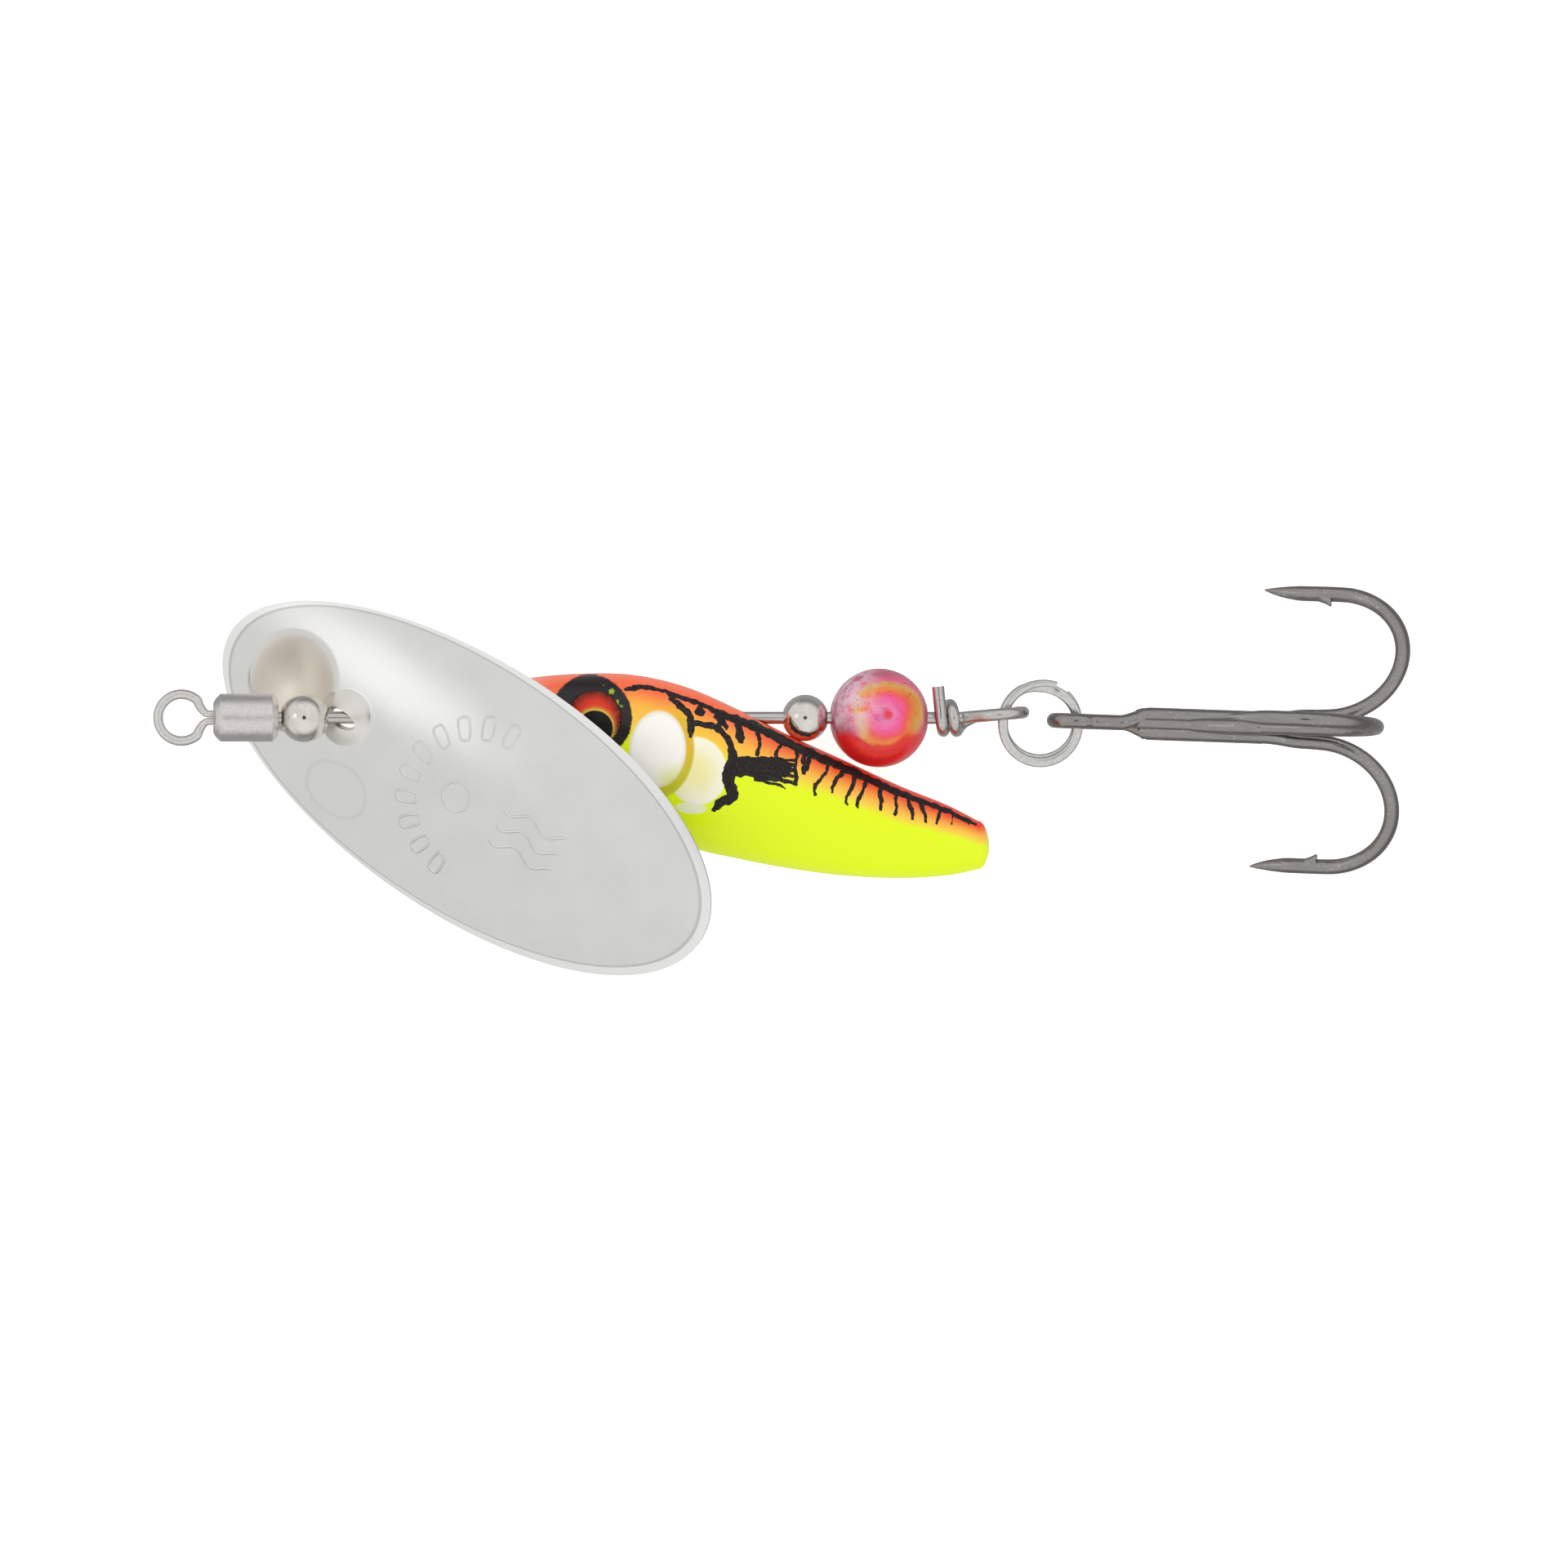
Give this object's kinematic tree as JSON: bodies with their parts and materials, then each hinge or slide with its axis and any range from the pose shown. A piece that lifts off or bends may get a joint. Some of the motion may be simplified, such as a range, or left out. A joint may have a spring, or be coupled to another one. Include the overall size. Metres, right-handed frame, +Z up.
{
  "type": "inline spinner lure",
  "caption": "Inline spinner fishing lure: dished blade, painted fish body and beads on a steel wire between a barrel swivel and a treble hook on a split ring.",
  "frame": {"origin": "centre of the underside of the lure as it lies on a flat surface", "axes": "+X along the wire from the line tie to the hook, +Z up from the surface it lies on, +Y to its left seen along +X"},
  "size_m": [0.071, 0.022, 0.0147],
  "materials": {
    "stainless_wire": "bright drawn wire",
    "satin_nickel": "satin nickel",
    "polished_nickel": "polished",
    "silver_plate": "polished silver plate",
    "brass_bead": "polished",
    "body_paint": "gloss clear coat over coral, orange and chartreuse paint",
    "eye_print": "printed film",
    "eye_lens": "clear resin dome",
    "red_glass_bead": "gloss with an iridescent coat",
    "ring_steel": "bright",
    "black_nickel": "black nickel"
  },
  "bodies": {
    "shaft": {"shaft_wire": "stainless_wire"},
    "swivel_barrel": {"swivel_barrel": "satin_nickel"},
    "line_tie_eye": {"swivel_eye": "satin_nickel"},
    "front_bead": {"front_bead": "polished_nickel"},
    "blade": {"blade": "silver_plate"},
    "bearing_bead": {"bearing_bead": "brass_bead"},
    "lure_body": {"lure_body": "body_paint", "eye_foil_near": "eye_print", "eye_foil_far": "eye_print", "eye_dome_near": "eye_lens", "eye_dome_far": "eye_lens"},
    "rear_bead": {"rear_bead": "polished_nickel"},
    "red_bead": {"red_bead": "red_glass_bead"},
    "split_ring": {"split_ring": "ring_steel"},
    "treble": {"treble_double_wire": "black_nickel", "treble_third_wire": "black_nickel", "treble_braze": "black_nickel"}
  },
  "joints": [
    {"name": "barrel_spin", "type": "hinge", "parent": "shaft", "child": "swivel_barrel", "pos_m": [-0.03029, 0.00351, 0.00489], "axis": [0.9985, 0, -0.0541], "continuous": true},
    {"name": "eye_spin", "type": "hinge", "parent": "swivel_barrel", "child": "line_tie_eye", "pos_m": [-0.03029, 0.00351, 0.00489], "axis": [0.9985, 0, -0.0541], "continuous": true},
    {"name": "blade_spin", "type": "hinge", "parent": "shaft", "child": "front_bead", "pos_m": [-0.02697, 0.00351, 0.00471], "axis": [0.9985, 0, -0.0541], "continuous": true},
    {"name": "blade_flare", "type": "hinge", "parent": "front_bead", "child": "blade", "pos_m": [-0.02502, 0.00351, 0.0046], "axis": [0, -1, 0], "range_deg": [0, 30]},
    {"name": "bearing_bead_spin", "type": "hinge", "parent": "shaft", "child": "bearing_bead", "pos_m": [-0.01949, 0.00351, 0.0043], "axis": [0.9985, 0, -0.0541], "continuous": true},
    {"name": "body_spin", "type": "hinge", "parent": "shaft", "child": "lure_body", "pos_m": [0.00003, 0.00351, 0.00325], "axis": [0.9985, 0, -0.0541], "continuous": true},
    {"name": "rear_bead_spin", "type": "hinge", "parent": "shaft", "child": "rear_bead", "pos_m": [0.00128, 0.00351, 0.00318], "axis": [0.9985, 0, -0.0541], "continuous": true},
    {"name": "red_bead_spin", "type": "hinge", "parent": "shaft", "child": "red_bead", "pos_m": [0.00545, 0.00351, 0.00295], "axis": [0.9985, 0, -0.0541], "continuous": true},
    {"name": "ring_swing", "type": "hinge", "parent": "shaft", "child": "split_ring", "pos_m": [0.01364, 0.00376, 0.00251], "axis": [0.0541, 0, 0.9985], "range_deg": [-50, 50]},
    {"name": "hook_swing", "type": "hinge", "parent": "split_ring", "child": "treble", "pos_m": [0.01672, 0.00313, 0.00212], "axis": [0.0075, 0.9903, 0.139], "range_deg": [-60, 60]}
  ]
}
